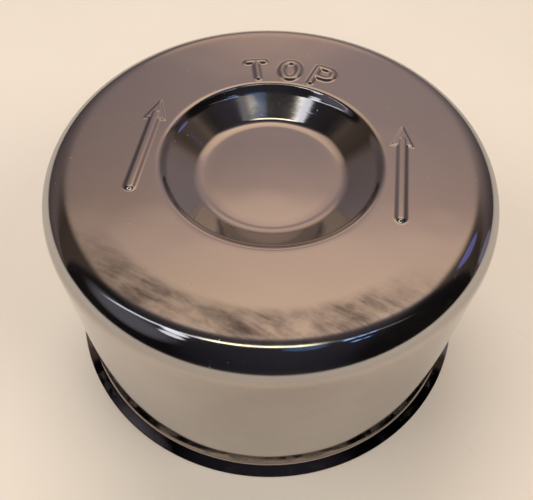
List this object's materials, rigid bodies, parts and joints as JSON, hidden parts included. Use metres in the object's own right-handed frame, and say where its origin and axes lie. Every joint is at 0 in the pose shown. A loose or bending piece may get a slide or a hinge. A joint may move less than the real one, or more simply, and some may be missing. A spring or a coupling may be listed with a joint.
{
  "type": "air filter housing",
  "caption": "Round pressed-steel air filter housing for a small engine: dished, flat-topped can cover over a base pan that holds a pleated filter cartridge and foam sleeve.",
  "frame": {"origin": "centre of the cover's lip, on the plane that the lip and the base pan's skirt stand on", "axes": "+Z along the can's axis, from the open carburettor side towards the dished top; +Y the way the cover's raised arrows point, up when the housing is mounted"},
  "size_m": [0.1154, 0.1154, 0.0622],
  "materials": {
    "cover_paint": "gloss black paint on pressed steel",
    "base_pan_steel": "zinc plated sheet, satin",
    "outlet_plated_steel": "yellow passivated steel, satin",
    "gasket_fibre": "matt compressed fibre sheet",
    "screw_zinc": "bright zinc plated",
    "lock_washer_steel": "phosphated spring steel",
    "spring_steel": "blued spring steel",
    "rivet_steel": "plain steel",
    "cartridge_end_rubber": "matt moulded rubber",
    "screen_galvanised": "galvanised perforated sheet",
    "filter_paper": "resin-treated filter paper",
    "precleaner_foam": "open-cell foam"
  },
  "bodies": {
    "base": {"base_pan": "base_pan_steel", "outlet_flange": "outlet_plated_steel", "carburettor_gasket": "gasket_fibre", "mounting_screw_1": "screw_zinc", "mounting_screw_2": "screw_zinc", "mounting_screw_3": "screw_zinc", "lock_washer_1": "lock_washer_steel", "lock_washer_2": "lock_washer_steel", "lock_washer_3": "lock_washer_steel", "cover_spring_1": "spring_steel", "cover_spring_2": "spring_steel", "cover_spring_3": "spring_steel", "spring_rivet_1": "rivet_steel", "spring_rivet_2": "rivet_steel", "spring_rivet_3": "rivet_steel"},
    "cover_body": {"cover": "cover_paint"},
    "cartridge": {"cartridge_lower_end": "cartridge_end_rubber", "cartridge_upper_end": "cartridge_end_rubber", "inner_screen": "screen_galvanised", "outer_screen": "screen_galvanised", "filter_media": "filter_paper"},
    "precleaner": {"foam_precleaner": "precleaner_foam"}
  },
  "joints": [
    {"name": "cover_lift", "type": "slide", "parent": "base", "child": "cover_body", "axis": [0, 0, 1], "range_m": [0, 0.2]},
    {"name": "cartridge_lift", "type": "slide", "parent": "base", "child": "cartridge", "axis": [0, 0, 1], "range_m": [0, 0.12]},
    {"name": "precleaner_lift", "type": "slide", "parent": "base", "child": "precleaner", "axis": [0, 0, 1], "range_m": [0, 0.06]}
  ],
  "couplings": [
    {"joint": "cartridge_lift", "follows": "cover_lift", "ratio": 0.6},
    {"joint": "precleaner_lift", "follows": "cover_lift", "ratio": 0.3}
  ]
}
